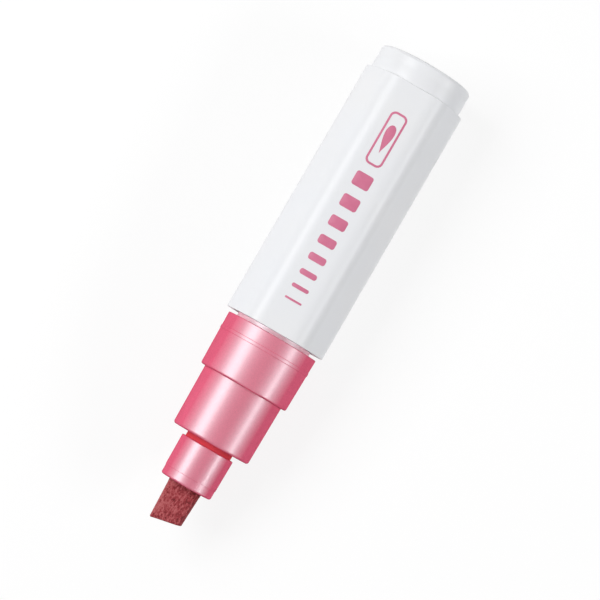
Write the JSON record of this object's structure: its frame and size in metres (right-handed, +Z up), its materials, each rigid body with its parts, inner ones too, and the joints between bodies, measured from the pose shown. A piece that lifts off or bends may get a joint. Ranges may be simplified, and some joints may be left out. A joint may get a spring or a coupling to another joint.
{
  "type": "paint marker",
  "caption": "Uncapped paint marker: hexagonal white barrel with a mixing ball, pearl pink front, and an oblique felt nib that presses in to open a sprung valve.",
  "frame": {"origin": "on the table, under the centre of the part's bounding box, with the marker lying on one flat of its barrel", "axes": "+X along the marker towards its tail, so the nib points to -X; +Z up; +Y across, towards the long side of the oblique nib"},
  "size_m": [0.1206, 0.0252, 0.0233],
  "materials": {
    "white_plastic": "smooth white moulded polypropylene, satin gloss",
    "pearl_pink": "pink plastic with fine metallic pearl flakes",
    "felt": "pressed polyester felt soaked in pink paint",
    "natural_plastic": "uncoloured moulded plastic",
    "rubber": "matt black elastomer",
    "steel": "bright steel"
  },
  "bodies": {
    "case": {"barrel": "white_plastic", "tail_plug": "white_plastic", "front_body": "pearl_pink", "nose": "pearl_pink", "valve_seat": "rubber", "valve_housing": "natural_plastic", "spring_retainer": "natural_plastic", "valve_spring": "steel"},
    "nib": {"nib": "felt", "nib_carrier": "natural_plastic"},
    "stem": {"valve_stem": "natural_plastic"},
    "ball": {"mixing_ball": "steel"}
  },
  "joints": [
    {"name": "nib_press", "type": "slide", "parent": "case", "child": "nib", "axis": [1, 0, 0], "range_m": [0, 0.0022], "stiffness_N_per_m": 400, "springref_m": -0.004},
    {"name": "valve_lift", "type": "slide", "parent": "case", "child": "stem", "axis": [1, 0, 0], "range_m": [0, 0.0022], "deforming": ["valve_spring"]},
    {"name": "ball_roll", "type": "slide", "parent": "case", "child": "ball", "axis": [-1, 0, 0], "range_m": [0, 0.0378]}
  ],
  "couplings": [
    {"joint": "valve_lift", "follows": "nib_press", "ratio": 1}
  ]
}
